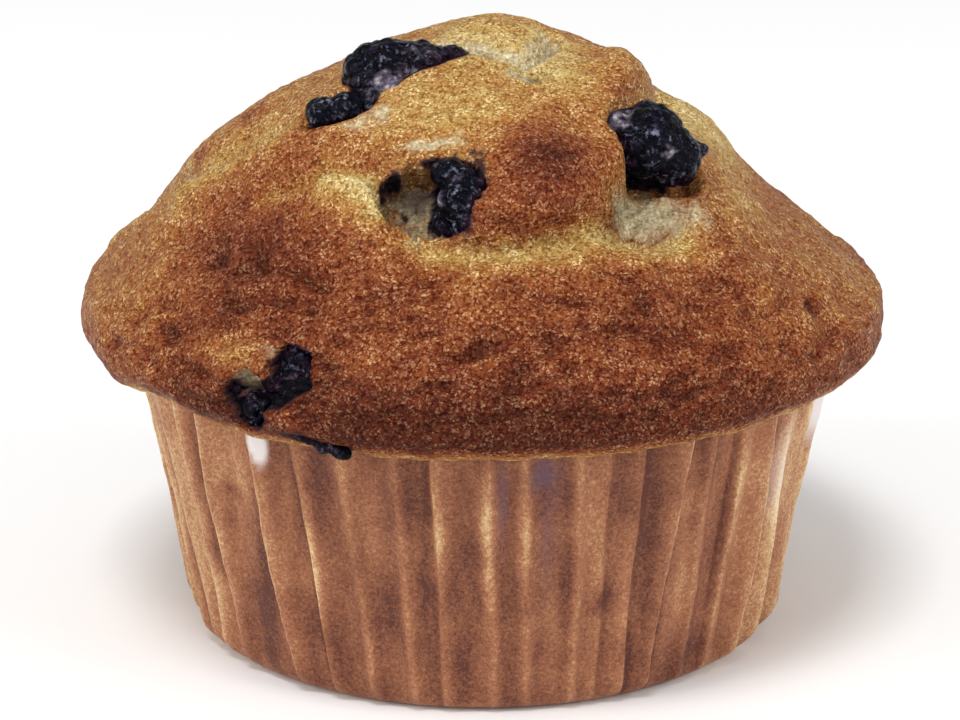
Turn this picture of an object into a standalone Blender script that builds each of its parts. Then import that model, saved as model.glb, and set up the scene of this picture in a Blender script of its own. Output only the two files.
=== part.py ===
"""A blueberry muffin in its fluted paper case: the cake with its burst crown, the case, and the berries that
show at the crown, each a closed solid at its real size. Run it in Blender 4.5. Dimensions below are in
millimetres and the model is in metres, +Z up, with the origin at the middle of the case's flat underside
and the muffin's front towards -Y."""

import math

import bmesh
import bpy
import numpy as np
from mathutils import Euler, Vector, noise

MM = 0.001

# The paper case: a fluted cone with a rounded foot and a flat floor.
CASE_FOOT_RADIUS = 28.0  # where the line of the wall meets the floor
CASE_FLARE = 0.185  # how much the radius grows for each unit of height
CASE_HEIGHT = 25.4
CASE_CORNER = 3.3  # rounding where the wall turns into the floor
CASE_PAPER = 0.3
CASE_FLUTES = 44
FLUTE_DEPTH = 0.9
GAP = 0.3  # left between pieces that touch

# The cake's crown: a lip that hangs over the case, and above it a dome with nearly straight flanks.
LIP_RADIUS = 37.6
LIP_HEIGHT = 29.5  # where the crown is widest
LIP_CORE = 23.0  # centre of the ellipse that rounds the lip's underside
LIP_DROP = 4.7  # that ellipse's half height
DOME_RISE = 27.0
LIP_FULLNESS = 16.8  # how full the rounding above the lip is
FLANK_FULLNESS = 0.8  # how far the flank above the lip swells
FLANK_RADIUS = 33.0  # where that swelling is greatest
CRUMB_RADIUS = CASE_FOOT_RADIUS - FLUTE_DEPTH - CASE_PAPER - GAP
CRUMB_FLOOR = CASE_PAPER + GAP

# Swellings (and, where the height is negative, dips) of the crown: centre, half widths, turn, height.
BULGES = {
    "left_cheek": ((-27.5, 3.0), (4.2, 12.0), 0, 1.8),
    "left_dip": ((-15.0, 6.0), (5.5, 6.0), 0, -0.6),
    "shoulder": ((-14.5, -12.0), (7.0, 5.0), -25, 1.3),
    "boulder_nose": ((5.0, -20.5), (5.5, 4.0), 0, 2.1),
    "boulder_corner": ((13.2, -4.0), (2.5, 6.0), 0, 2.2),
    "crest": ((1.8, 2.0), (6.0, 4.0), 0, 0.7),
    "right_flank": ((25.0, -1.0), (7.0, 14.0), 0, -3.0),
    "right_bump": ((20.5, 10.5), (3.0, 6.0), 0, 0.8),
    "right_rim": ((32.0, 4.0), (5.0, 14.0), 0, -0.7),
    "right_dip": ((16.5, 5.0), (4.0, 8.0), 0, -1.8),
    "rear_left": ((-11.0, 19.0), (8.0, 7.0), -25, 1.5),
    "rear_right": ((11.0, 18.0), (9.0, 7.0), 25, 1.2),
    "ledge": ((3.0, -28.5), (14.0, 3.0), 0, 0.9),
    "skirt_left": ((-14.0, -21.5), (6.0, 4.5), 35, 1.0),
}

# Creases where the crown burst: the points they run through, depth, width on the left of the way they run
# and width on the right.
CREASES = {
    "left_crack": ([(-29.5, -1.0), (-26.0, -5.0), (-22.0, -7.5), (-18.0, -7.2), (-14.0, -8.5)], 2.0, 2.6, 0.9),
    "fold": ([(-20.0, -12.5), (-18.2, -15.2), (-15.7, -16.4), (-12.5, -16.8), (-9.5, -18.5)], 1.0, 0.7, 1.8),
    "boulder_foot": (
        [
            (-9.5, -20.5),
            (-7.0, -23.6),
            (-3.0, -24.8),
            (1.8, -25.2),
            (5.8, -24.3),
            (9.0, -22.8),
            (12.0, -21.6),
            (16.0, -19.6),
            (19.5, -16.0),
        ],
        2.8,
        0.8,
        2.6,
    ),
    "boulder_side": (
        [
            (9.3, -22.5),
            (11.0, -20.0),
            (13.0, -16.5),
            (12.0, -13.0),
            (14.0, -8.0),
            (15.8, -3.0),
            (16.3, 3.0),
            (13.0, 7.0),
        ],
        2.4,
        0.7,
        2.2,
    ),
    "top_crack": ([(-6.0, -3.5), (-1.7, -4.4), (1.5, -6.2), (5.0, -7.0), (7.5, -5.0)], 1.5, 1.2, 1.5),
    "rear_crack": ([(-16.0, 10.0), (-7.0, 10.5), (2.0, 9.0), (9.0, 9.5), (13.0, 7.0)], 1.4, 1.2, 1.8),
    "rear_split": ([(2.0, 9.0), (1.0, 16.0), (2.5, 24.0)], 1.3, 1.4, 1.4),
}

# Places where the crust is pushed in or out: centre, half sizes, the way it is pushed and how far.
PUSHES = {
    "nose": ((4.0, -21.5, 48.0), (6.5, 4.5, 4.5), (0.0, -0.9, -0.43), 1.6),
    "crater": ((-4.4, -22.0, 46.2), (4.9, 3.0, 4.0), (0.0, 0.75, -0.66), 3.6),
    "hollow": ((13.6, -18.7, 44.2), (4.8, 3.4, 2.6), (0.0, 0.6, -0.8), 1.8),
    "berry_seat": ((15.6, -13.5, 47.5), (4.4, 4.0, 4.4), (-0.2, 0.5, -0.84), 2.6),
    "tail_seat": ((-12.7, -11.0, 51.4), (4.4, 2.6, 2.6), (0.0, 0.4, -0.92), 1.6),
    "top_pit": ((5.0, -7.2, 54.2), (2.0, 1.6, 2.0), (0.0, 0.3, -0.95), 1.0),
    "lip_burst": ((-18.6, -30.8, 32.8), (4.6, 4.6, 4.2), (0.5, 0.86, -0.1), 1.8),
}

# Berries: centre, half sizes, turn in degrees, and how much each narrows towards its own +X end.
BERRIES = {
    "berry_top_left": ((-7.0, -6.2, 54.2), (6.3, 3.1, 2.7), (0, 4, 8), 0.35),
    "berry_top_left_tail": ((-12.9, -11.0, 51.3), (3.5, 1.8, 1.5), (0, -10, 6), 0.0),
    "berry_crater": ((-2.2, -21.6, 45.8), (2.6, 2.4, 3.1), (0, 15, 0), 0.0),
    "berry_right": ((15.2, -13.0, 48.8), (3.9, 3.7, 3.9), (0, 25, 0), 0.0),
    "berry_lip_left": ((-18.0, -30.2, 32.6), (4.3, 2.2, 3.2), (0, 35, -31), 0.0),
    "berry_under_lip": ((-13.0, -34.2, 27.3), (2.6, 0.6, 0.8), (0, 10, -21), 0.0),
    "berry_rear": ((4.0, 21.5, 44.9), (4.2, 4.0, 3.4), (-20, 0, 15), 0.0),
    "berry_rear_left": ((-17.0, 19.0, 41.5), (4.0, 3.8, 3.6), (0, 25, 30), 0.0),
}
BERRY_SEGMENTS = 12
BERRY_RINGS = 8
BERRY_WRINKLE = 0.10  # depth of a berry's dents as a share of its size

# Mesh density: the cake is made fine, then thinned out where it is smooth.
CAKE_COLUMNS = 144
DOME_RINGS = 56
CAKE_KEPT = 0.22  # share of the cake's faces that stay

CRUST = ("crust", (0.42, 0.20, 0.07), 0.60)
PAPER = ("paper", (0.50, 0.32, 0.18), 0.45)
SKIN = ("berry_skin", (0.02, 0.018, 0.04), 0.30)


def clear_scene():
    for obj in list(bpy.data.objects):
        bpy.data.objects.remove(obj)


def collection(name):
    made = bpy.data.collections.new(name)
    bpy.context.scene.collection.children.link(made)
    return made


def material(name, colour, roughness):
    made = bpy.data.materials.new(name)
    made.use_nodes = True
    shader = made.node_tree.nodes["Principled BSDF"]
    shader.inputs["Base Color"].default_value = (*colour, 1.0)
    shader.inputs["Roughness"].default_value = roughness
    shader.inputs["Metallic"].default_value = 0.0
    return made


def place(name, mesh, into, finish=None):
    obj = bpy.data.objects.new(name, mesh)
    into.objects.link(obj)
    if finish:
        mesh.materials.append(finish)
    return obj


def points_of(mesh):
    """The mesh's points as an array in millimetres."""
    points = np.empty(len(mesh.vertices) * 3, np.float32)
    mesh.vertices.foreach_get("co", points)
    return points.reshape(-1, 3).astype(float) / MM


def move_points(mesh, points):
    mesh.vertices.foreach_set("co", (points * MM).astype(np.float32).ravel())
    mesh.update()


def turned(name, profile, columns):
    """The mesh that a Screw makes of a profile of (radius, height), bottom to top, turned about Z."""
    guide_mesh = bpy.data.meshes.new(name + "_profile")
    # A profile that runs down its outer side gives faces that point outwards.
    points = [(radius * MM, 0.0, height * MM) for radius, height in reversed(profile)]
    guide_mesh.from_pydata(points, [(i, i + 1) for i in range(len(points) - 1)], [])
    guide = place(name + "_turned", guide_mesh, bpy.context.scene.collection)
    screw = guide.modifiers.new("turn", "SCREW")
    screw.steps = columns
    screw.render_steps = columns
    screw.use_merge_vertices = True
    screw.merge_threshold = 0.00005
    graph = bpy.context.evaluated_depsgraph_get()
    mesh = bpy.data.meshes.new_from_object(guide.evaluated_get(graph))
    mesh.name = name
    bpy.data.objects.remove(guide)
    work = bmesh.new()
    work.from_mesh(mesh)
    bmesh.ops.remove_doubles(work, verts=work.verts, dist=0.00001)
    work.to_mesh(mesh)
    work.free()
    return mesh


def foot_arc(radius_at_floor, floor, steps):
    """Points from the floor out and round the corner, for a wall that meets the floor at that radius."""
    points = []
    for i in range(steps + 1):
        turn = math.pi / 2 * i / steps
        rise = CASE_CORNER * (1 - math.cos(turn))
        radius = radius_at_floor - CASE_CORNER * (1 - math.sin(turn)) + CASE_FLARE * rise
        points.append((radius, floor + rise))
    return points


def cake_profile():
    """(radius, height) from the middle of the cake's floor, round the lip, to the top of the dome."""
    points = [(0.0, CRUMB_FLOOR), (CRUMB_RADIUS * 0.5, CRUMB_FLOOR)]
    points += foot_arc(CRUMB_RADIUS, CRUMB_FLOOR, 3)
    neck_height = CASE_HEIGHT + GAP
    points.append((CRUMB_RADIUS + CASE_FLARE * (neck_height - CRUMB_FLOOR), neck_height))
    turn_at_neck = math.asin((LIP_HEIGHT - neck_height) / LIP_DROP)
    for i in range(9):
        turn = turn_at_neck * (1 - i / 8)
        radius = LIP_CORE + (LIP_RADIUS - LIP_CORE) * math.cos(turn)
        points.append((radius, LIP_HEIGHT - LIP_DROP * math.sin(turn)))
    for i in range(1, DOME_RINGS + 1):
        radius = LIP_RADIUS * math.cos(math.pi / 2 * i / DOME_RINGS)
        points.append((radius, float(plain_dome(radius, 0.0))))
    return points


def plain_dome(x, y):
    """Height of the dome before it burst."""
    share = np.clip(1 - (x * x + y * y) / LIP_RADIUS**2, 0, 1)
    rounding = LIP_FULLNESS * np.sqrt(share) * np.exp(-share / 0.07)
    swelling = FLANK_FULLNESS * np.exp(-(((np.hypot(x, y) - FLANK_RADIUS) / 3.5) ** 2))
    return LIP_HEIGHT + DOME_RISE * share + rounding + swelling


def smooth_step(share):
    share = np.clip(share, 0, 1)
    return share * share * (3 - 2 * share)


def bulge(x, y, centre, half, turn, height):
    spin = math.radians(turn)
    dx, dy = x - centre[0], y - centre[1]
    u = (dx * math.cos(spin) + dy * math.sin(spin)) / half[0]
    v = (dy * math.cos(spin) - dx * math.sin(spin)) / half[1]
    return height * np.exp(-(u * u + v * v))


def smooth_line(points, steps=6):
    """A Catmull-Rom curve through the points, as a list of points."""
    given = [np.array(point) for point in points]
    knots = [2 * given[0] - given[1], *given, 2 * given[-1] - given[-2]]
    line = []
    for a, b, c, d in zip(knots, knots[1:], knots[2:], knots[3:]):
        for step in range(steps):
            t = step / steps
            line.append(
                b + 0.5 * t * (c - a + t * (2 * a - 5 * b + 4 * c - d + t * (3 * (b - c) + d - a)))
            )
    return [*line, given[-1]]


def crease(x, y, points, depth, left, right):
    """A valley along a line, as wide on each of its sides as asked, that runs out at the line's ends."""
    line = smooth_line(points)
    lengths = [float(np.linalg.norm(end - start)) for start, end in zip(line, line[1:])]
    nearest = np.full(x.shape, np.inf)
    width = np.full(x.shape, float(left))
    share = np.zeros(x.shape)
    run = 0.0
    for start, end, length in zip(line, line[1:], lengths):
        way = (end - start) / length
        dx, dy = x - start[0], y - start[1]
        along = np.clip(dx * way[0] + dy * way[1], 0, length)
        distance = np.hypot(dx - along * way[0], dy - along * way[1])
        closer = distance < nearest
        nearest = np.where(closer, distance, nearest)
        on_left = way[0] * dy - way[1] * dx > 0
        width = np.where(closer, np.where(on_left, left, right), width)
        share = np.where(closer, (run + along) / sum(lengths), share)
        run += length
    fade = smooth_step(7 * np.minimum(share, 1 - share))
    return -depth * fade * np.exp(-((nearest / width) ** 1.5))


def crown_change(x, y):
    """How far the burst crown stands above the plain dome."""
    change = sum(bulge(x, y, *numbers) for numbers in BULGES.values())
    change += sum(crease(x, y, *numbers) for numbers in CREASES.values())
    # The lip itself stays where it is.
    return change * smooth_step((LIP_RADIUS - np.hypot(x, y)) / 1.5)


def push_crust(points):
    for centre, half, way, far in PUSHES.values():
        near = np.linalg.norm((points - np.array(centre)) / np.array(half), axis=1)
        push = smooth_step(1.6 * (1.2 - near)) * far
        points = points + np.outer(push, np.array(way))
    return points


def lip_wave(azimuth):
    """The lip's unevenness round the muffin, from about -1 to 1."""
    return 0.6 * np.sin(2 * azimuth + 0.5) + 0.4 * np.sin(5 * azimuth - 0.8)


def shape_crown(points):
    """Moves the points of the turned cake to the burst, uneven crown."""
    x, y, z = points.T
    above = z > LIP_HEIGHT - 0.01
    z = z + np.where(above, crown_change(x, y), 0)
    wave = lip_wave(np.arctan2(y, x)) * smooth_step((z - CASE_HEIGHT - GAP) / 4)
    wave = wave * (np.hypot(x, y) / LIP_RADIUS) ** 2
    stretch = 1 + 0.006 * wave
    return push_crust(np.stack([x * stretch, y * stretch, z + 0.3 * wave], axis=1))


def make_cake(into, finish):
    mesh = turned("muffin_cake", cake_profile(), CAKE_COLUMNS)
    move_points(mesh, shape_crown(points_of(mesh)))
    mesh.shade_smooth()
    cake = place("muffin_cake", mesh, into, finish)
    thin = cake.modifiers.new("thin_out", "DECIMATE")
    thin.ratio = CAKE_KEPT
    return cake


def make_case(into, finish):
    """The paper case: wall and floor turned as one surface, fluted, and thickened inwards."""
    profile = [(0.0, 0.0), *foot_arc(CASE_FOOT_RADIUS, 0.0, 2)]
    profile.append((CASE_FOOT_RADIUS + CASE_FLARE * CASE_HEIGHT, CASE_HEIGHT))
    mesh = turned("paper_case", profile, CASE_FLUTES * 4)
    points = points_of(mesh)
    radius = np.hypot(points[:, 0], points[:, 1])
    azimuth = np.arctan2(points[:, 1], points[:, 0])
    fold = 0.5 - 0.5 * np.cos(CASE_FLUTES * azimuth)
    # The flutes start flat at the floor and reach their full depth above the corner.
    depth = FLUTE_DEPTH * np.clip(points[:, 2] / CASE_CORNER, 0, 1)
    shrink = 1 - depth * fold / np.maximum(radius, 1)
    points[:, :2] *= shrink[:, None]
    move_points(mesh, points)
    case = place("paper_case", mesh, into, finish)
    thick = case.modifiers.new("paper", "SOLIDIFY")
    thick.thickness = CASE_PAPER * MM
    thick.offset = -1
    return case


def berry_mesh(name, half, taper, seed, grown=0.0):
    """A shrunken berry: a sphere with soft dents that may narrow to one end, grown by a gap for a cutter."""
    work = bmesh.new()
    bmesh.ops.create_uvsphere(work, u_segments=BERRY_SEGMENTS, v_segments=BERRY_RINGS, radius=1.0)
    for vert in work.verts:
        way = vert.co.normalized()
        dent = 1 + BERRY_WRINKLE * noise.noise(way * 1.6 + Vector((seed * 7.3, 0, 0)))
        narrow = 1 - taper * way.x
        size = [half[0] + grown, half[1] * narrow + grown, half[2] * narrow + grown]
        vert.co = Vector([way[i] * dent * size[i] * MM for i in range(3)])
    mesh = bpy.data.meshes.new(name)
    work.to_mesh(mesh)
    work.free()
    mesh.shade_smooth()
    return mesh


def make_berries(cake, into, cutters, finish):
    for seed, (name, (centre, half, turn, taper)) in enumerate(BERRIES.items()):
        berry = place(name, berry_mesh(name, half, taper, seed), into, finish)
        pocket = place(name + "_pocket", berry_mesh(name, half, taper, seed, GAP), cutters)
        for obj in (berry, pocket):
            obj.location = Vector(centre) * MM
            obj.rotation_euler = Euler([math.radians(angle) for angle in turn])
        pocket.hide_render = True
        pocket.display_type = "WIRE"
        cut = cake.modifiers.new(name, "BOOLEAN")
        cut.operation = "DIFFERENCE"
        cut.object = pocket


def main():
    clear_scene()
    muffin = collection("muffin")
    cutters = collection("cutters")
    crust, paper, skin = (material(*finish) for finish in (CRUST, PAPER, SKIN))
    cake = make_cake(muffin, crust)
    make_case(muffin, paper)
    make_berries(cake, muffin, cutters, skin)


main()
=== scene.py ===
"""The looks of a blueberry muffin in its paper case: a browned crust that burst as it baked, sunken
berries and a grease-stained pleated case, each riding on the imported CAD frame. Lengths are in millimetres
until a mesh is made, and azimuths in degrees from the muffin's front (-Y), positive towards +X."""

import math
import random

import bmesh
import bpy
import numpy as np
from mathutils import Euler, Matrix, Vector, noise
from mathutils.kdtree import KDTree


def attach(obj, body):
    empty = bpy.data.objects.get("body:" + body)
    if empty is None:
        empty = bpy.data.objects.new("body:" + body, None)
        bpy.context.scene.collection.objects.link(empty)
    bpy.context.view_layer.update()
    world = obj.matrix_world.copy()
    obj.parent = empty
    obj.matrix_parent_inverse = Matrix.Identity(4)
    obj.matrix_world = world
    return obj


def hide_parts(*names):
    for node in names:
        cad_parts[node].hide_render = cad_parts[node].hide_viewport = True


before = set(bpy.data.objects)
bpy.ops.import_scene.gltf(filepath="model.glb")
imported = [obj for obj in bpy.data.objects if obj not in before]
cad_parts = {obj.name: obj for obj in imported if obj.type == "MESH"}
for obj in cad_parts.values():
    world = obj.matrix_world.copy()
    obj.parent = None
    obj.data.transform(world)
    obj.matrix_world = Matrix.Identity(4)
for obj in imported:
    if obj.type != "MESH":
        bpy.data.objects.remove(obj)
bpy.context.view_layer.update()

MM = 0.001

# Driving sizes, the same as in the CAD source.
CASE_FOOT_RADIUS = 28.0  # where the line of the wall meets the floor
CASE_FLARE = 0.185  # how much the radius grows for each unit of height
CASE_HEIGHT = 25.4
CASE_CORNER = 3.3  # rounding where the cake's side turns into its floor
GAP = 0.3  # between the case's edge and the lip
LIP_RADIUS = 37.6
LIP_HEIGHT = 29.5  # where the crown is widest
LIP_CORE = 23.0  # centre of the ellipse that rounds the lip's underside
LIP_DROP = 4.7  # that ellipse's half height
DOME_RISE = 27.0
LIP_FULLNESS = 16.8  # how full the rounding above the lip is
FLANK_FULLNESS = 0.8  # how far the flank above the lip swells
FLANK_RADIUS = 33.0  # where that swelling is greatest
CRUMB_RADIUS = 26.5  # of the cake's foot, inside the case
CRUMB_FLOOR = 0.6

# Swellings (and, where the height is negative, dips) of the crown: centre, half widths, turn, height.
BULGES = {
    "left_cheek": ((-26.5, 3.0), (3.8, 12.0), 0, 1.6),
    "left_lobe": ((-19.5, 2.5), (4.5, 6.0), 0, 0.8),
    "left_dip": ((-15.0, 6.0), (5.5, 6.0), 0, -0.6),
    "shoulder": ((-14.5, -12.0), (7.0, 5.0), -25, 1.3),
    "boulder_nose": ((5.0, -20.5), (5.5, 4.0), 0, 2.1),
    "boulder_corner": ((12.9, -3.6), (2.4, 6.0), 0, 2.15),
    "crest": ((1.5, 2.0), (4.2, 4.0), 0, 0.95),
    "crest_left": ((-6.5, 1.5), (3.0, 4.0), 0, -1.0),
    "right_flank": ((25.0, -1.0), (7.0, 14.0), 0, -3.0),
    "right_bump": ((20.5, 10.5), (3.0, 6.0), 0, 0.8),
    "right_rim": ((32.0, 4.0), (5.0, 14.0), 0, -0.7),
    "right_dip": ((16.5, 5.0), (4.0, 8.0), 0, -1.8),
    "rear_left": ((-11.0, 19.0), (8.0, 7.0), -25, 1.5),
    "rear_right": ((11.0, 18.0), (9.0, 7.0), 25, 1.2),
    "ledge": ((3.0, -28.5), (14.0, 3.0), 0, 0.9),
    "skirt_left": ((-14.0, -21.5), (6.0, 4.5), 35, 1.0),
}

# Creases where the crown burst, and their raised edges: the points they run through, the depth, the width
# on the left of the way they run and on the right, the edge's height on the left and on the right, and how
# far that reaches.
LEFT_CRACK = [
    (-35.0, 6.0), (-32.5, 2.5), (-30.0, -1.0), (-26.8, -5.4),
    (-24.0, -7.2), (-21.0, -9.2), (-18.6, -10.4), (-15.6, -10.6),
]
FOLD = [(-20.0, -14.2), (-18.0, -15.8), (-16.6, -16.6), (-15.0, -17.0), (-13.0, -16.8)]
CRATER_RIM = [(-15.0, -17.6), (-12.1, -19.0), (-9.9, -20.6), (-8.9, -22.4), (-8.0, -24.2)]
BOULDER_FOOT = [
    (-8.2, -22.8), (-6.4, -24.0), (-3.0, -24.8), (1.8, -25.2), (5.8, -24.3),
    (9.0, -22.8), (12.0, -21.6), (16.0, -19.6), (19.5, -16.0),
]
BOULDER_SIDE = [
    (9.3, -22.5), (11.0, -20.0), (13.0, -16.5), (12.0, -13.0),
    (14.0, -8.0), (15.8, -3.0), (16.3, 3.0), (13.0, 7.0),
]
TOP_CRACK = [(-5.7, -2.4), (-2.6, -3.8), (-0.6, -4.9), (2.3, -6.4), (4.3, -6.0), (5.8, -3.0), (6.6, 1.5)]
REAR_CRACK = [(-16.0, 10.0), (-7.0, 10.5), (2.0, 9.0), (9.0, 9.5), (13.0, 7.0)]
REAR_SPLIT = [(2.0, 9.0), (1.0, 16.0), (2.5, 24.0)]
CREASES = {
    "left_crack": (LEFT_CRACK, 2.3, 2.4, 0.7, -0.2, 1.1, 3.5),
    "fold": (FOLD, 1.4, 0.4, 0.9, 0.6, 0.0, 2.5),
    "crater_rim": (CRATER_RIM, 0.9, 1.6, 0.3, 0.0, 0.7, 2.0),
    "boulder_foot": (BOULDER_FOOT, 2.8, 0.6, 2.5, 1.2, 0.0, 3.0),
    "boulder_side": (BOULDER_SIDE, 2.7, 0.6, 2.2, 1.1, -0.2, 2.6),
    "top_crack": (TOP_CRACK, 1.9, 1.1, 1.3, 0.5, 0.5, 2.0),
    "rear_crack": (REAR_CRACK, 1.4, 1.2, 1.8, 0.5, 0.3, 3.0),
    "rear_split": (REAR_SPLIT, 1.3, 1.4, 1.4, 0.3, 0.4, 3.0),
}

# Places where the crust is pushed in or out: centre, half sizes, the way and how far.
PUSHES = {
    "nose": ((4.0, -21.5, 48.0), (6.5, 4.5, 4.5), (0.0, -0.9, -0.43), 1.8),
    "hollow": ((13.6, -18.7, 44.2), (4.8, 3.4, 2.6), (0.0, 0.6, -0.8), 2.2),
    "berry_seat": ((15.6, -13.5, 47.5), (4.4, 4.0, 4.4), (-0.2, 0.5, -0.84), 2.6),
    "tail_seat": ((-12.7, -11.0, 51.4), (4.4, 2.6, 2.6), (0.0, 0.4, -0.92), 1.6),
    "top_pit": ((4.2, -8.8, 54.2), (1.8, 1.8, 2.0), (0.0, 0.3, -0.95), 1.2),
    "left_lip": ((-29.5, -22.0, 27.2), (6.0, 6.0, 2.4), (0.2, 0.15, 0.95), 0.8),
    "left_notch": ((-29.4, -1.0, 40.4), (2.4, 3.0, 1.6), (0.8, 0.0, -0.6), 0.8),
    "lip_flap": ((-20.6, -29.6, 33.4), (3.4, 3.4, 1.9), (-0.4, -0.8, 0.3), 0.8),
    "left_dimple": ((-28.4, -21.6, 34.7), (1.2, 1.4, 0.7), (0.7, 0.6, 0.0), 0.4),
    "left_dimple_foot": ((-27.3, -22.4, 33.8), (1.1, 1.4, 0.6), (0.7, 0.6, 0.0), 0.4),
    "right_pit": ((29.5, -17.2, 35.0), (0.9, 0.9, 0.7), (-0.7, 0.5, 0.0), 0.4),
}
# Holes with a torn edge where berries burst through: centre, half sizes, way in, depth, how juicy.
HOLES = {
    "crater": ((-4.3, -21.6, 46.1), (4.7, 3.6, 3.3), (0.0, 0.75, -0.66), 3.2, 0.0),
    "burst_right": ((-16.5, -31.2, 33.2), (2.1, 3.2, 2.4), (0.45, 0.86, 0.0), 2.6, 1.0),
    "burst_middle": ((-18.2, -31.4, 31.7), (1.8, 3.2, 1.4), (0.48, 0.86, 0.0), 2.4, 1.0),
    "burst_stem": ((-20.3, -31.6, 29.8), (1.4, 3.2, 1.6), (0.5, 0.84, 0.0), 2.2, 1.0),
    "burst_arm": ((-21.8, -30.0, 31.5), (0.7, 3.0, 1.1), (0.5, 0.84, 0.0), 1.4, 1.0),
    "burst_flesh": ((-20.0, -30.6, 32.3), (1.6, 3.0, 1.4), (0.5, 0.84, 0.0), 1.8, 0.0),
}

# The crust's mesh: its spacing, and how many columns it has where the radius is above each bound.
CRUST_SPACING = 0.3
CRUST_COLUMNS = ((18.0, 640), (9.0, 320), (4.5, 160), (2.2, 80), (1.0, 40), (0.0, 20))
LIP_STEPS = 60  # points of the profile before it is spaced evenly
DOME_STEPS = 600

# Browning from the lip's underside up: height and how brown the crust is there, from 0 to 1. The dark band
# round the lip's widest line is browned crust and partly painted shade under the lip.
BROWN_BY_HEIGHT = (
    (25.5, 0.22), (27.2, 0.38), (28.6, 0.92), (30.6, 0.9),
    (34.0, 0.74), (41.0, 0.66), (47.0, 0.5), (57.0, 0.34),
)
# Places browner or paler than that: centre, half sizes, change.
BROWNING = {
    "nose_front": ((5.0, -20.8, 48.8), (3.7, 4.0, 3.1), 0.64),
    "nose_foot": ((3.0, -24.2, 45.0), (5.5, 2.2, 2.6), 0.26),
    "boulder_left": ((-4.0, -14.5, 52.0), (7.0, 5.5, 4.0), -0.18),
    "boulder_edge": ((12.5, -8.0, 52.4), (3.0, 4.0, 2.5), 0.16),
    "boulder_top": ((7.0, -9.5, 53.6), (4.0, 3.5, 2.5), -0.16),
    "shoulder": ((-17.0, -14.0, 47.5), (7.0, 5.0, 4.5), 0.12),
    "shoulder_foot": ((-20.0, -19.0, 43.0), (8.0, 5.0, 4.0), 0.12),
    "left_lobe": ((-27.0, 2.0, 43.0), (6.0, 10.0, 6.0), -0.02),
    "left_lobe_top": ((-19.0, 0.0, 48.0), (4.0, 6.0, 3.0), -0.08),
    "left_lobe_patch": ((-26.4, -0.8, 44.4), (1.3, 2.0, 1.6), 0.3),
    "left_lobe_top_patch": ((-21.0, -1.0, 48.4), (2.6, 2.0, 1.0), 0.26),
    "left_lobe_rim": ((-30.0, -3.0, 41.5), (1.8, 3.0, 2.2), 0.22),
    "right_flank": ((22.5, -10.0, 41.5), (6.0, 7.0, 4.0), -0.26),
    "right_lobe": ((20.5, 5.5, 44.5), (6.0, 10.0, 6.0), -0.44),
    "lip_flap": ((-21.4, -29.5, 34.2), (3.6, 3.0, 1.8), -0.28),
    "lip_flap_below": ((-16.5, -33.4, 29.8), (2.4, 2.0, 1.6), -0.22),
    "crest": ((2.0, 2.0, 56.5), (8.0, 6.0, 3.0), -0.04),
    # Paler at the sides: painted rim light.
    "left_rim_light": ((-36.5, -6.0, 33.0), (3.0, 12.0, 5.5), -0.1),
    "right_rim_light": ((36.5, -6.0, 33.0), (3.0, 12.0, 5.5), -0.1),
    "left_dimple": ((-28.8, -21.3, 35.1), (0.7, 1.2, 0.5), 0.4),
    "left_dimple_middle": ((-28.0, -21.9, 34.4), (0.7, 1.2, 0.5), 0.45),
    "left_dimple_foot": ((-27.1, -22.6, 33.6), (0.8, 1.2, 0.5), 0.45),
    "right_pit": ((29.5, -17.2, 35.0), (0.9, 0.9, 0.6), 0.4),
    "skirt_left": ((-17.0, -24.0, 39.0), (9.0, 7.0, 5.0), 0.14),
    "lip_front": ((0.0, -36.0, 31.0), (14.0, 4.0, 3.5), 0.16),
}
# Crumb that shows in the creases: how pale its middle is and how far that reaches to the left and right;
# then how golden the crust beside it is, and how far that reaches to the left and right.
OPENINGS = {
    "left_crack": (0.52, 2.2, 0.4, 0.3, 3.6, 2.4),
    "fold": (0.0, 0.3, 0.3, 0.3, 0.3, 2.2),
    "crater_rim": (0.15, 0.6, 0.9, 0.52, 0.8, 2.6),
    "boulder_foot": (0.12, 0.3, 1.2, 0.46, 0.3, 3.2),
    "boulder_side": (0.3, 0.3, 1.0, 0.2, 0.4, 3.0),
    "top_crack": (0.9, 1.4, 1.0, 0.3, 3.0, 3.2),
    "rear_crack": (0.4, 1.0, 1.2, 0.25, 3.0, 3.0),
    "rear_split": (0.3, 1.0, 1.0, 0.2, 2.6, 2.6),
}
# Bare crumb beside the berries: centre, half sizes, how pale.
CRUMB = {
    "crater_rim": ((-4.8, -22.2, 42.8), (4.2, 2.2, 0.7), 1.1),
    "crater_corner": ((-8.8, -20.3, 45.6), (0.9, 1.2, 1.2), 0.5),
    "crater_floor": ((-5.9, -20.2, 45.0), (2.8, 3.0, 2.6), 1.0),
    "hollow": ((13.8, -17.4, 43.2), (4.8, 3.6, 2.1), 1.1),
    "hollow_end": ((18.2, -17.2, 43.2), (2.4, 1.8, 1.2), 0.8),
    "fissure": ((-4.6, -18.1, 50.0), (3.4, 1.0, 0.6), 0.84),
    "fissure_end": ((-2.6, -18.3, 50.2), (1.0, 1.0, 0.8), 0.8),
    "top_pit": ((3.2, -9.2, 53.8), (1.8, 1.3, 1.5), 1.1),
    "behind_tip": ((-2.2, -4.4, 55.4), (3.0, 1.4, 1.5), 0.8),
    "tail_side": ((-9.2, -14.0, 51.6), (1.2, 2.0, 1.2), 0.9),
    "tail_foot": ((-11.2, -14.6, 51.0), (2.6, 1.1, 1.0), 0.66),
    "right_top": ((12.0, -14.0, 51.4), (1.0, 1.6, 0.8), 0.7),
    "left_notch": ((-27.6, -2.8, 42.2), (1.6, 2.6, 1.5), 0.8),
    "lip_flap": ((-18.6, -29.4, 34.5), (1.5, 1.5, 0.8), 0.6),
    "burst_flesh": ((-19.8, -29.6, 32.7), (1.5, 1.6, 1.3), 1.0),
}
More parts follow.
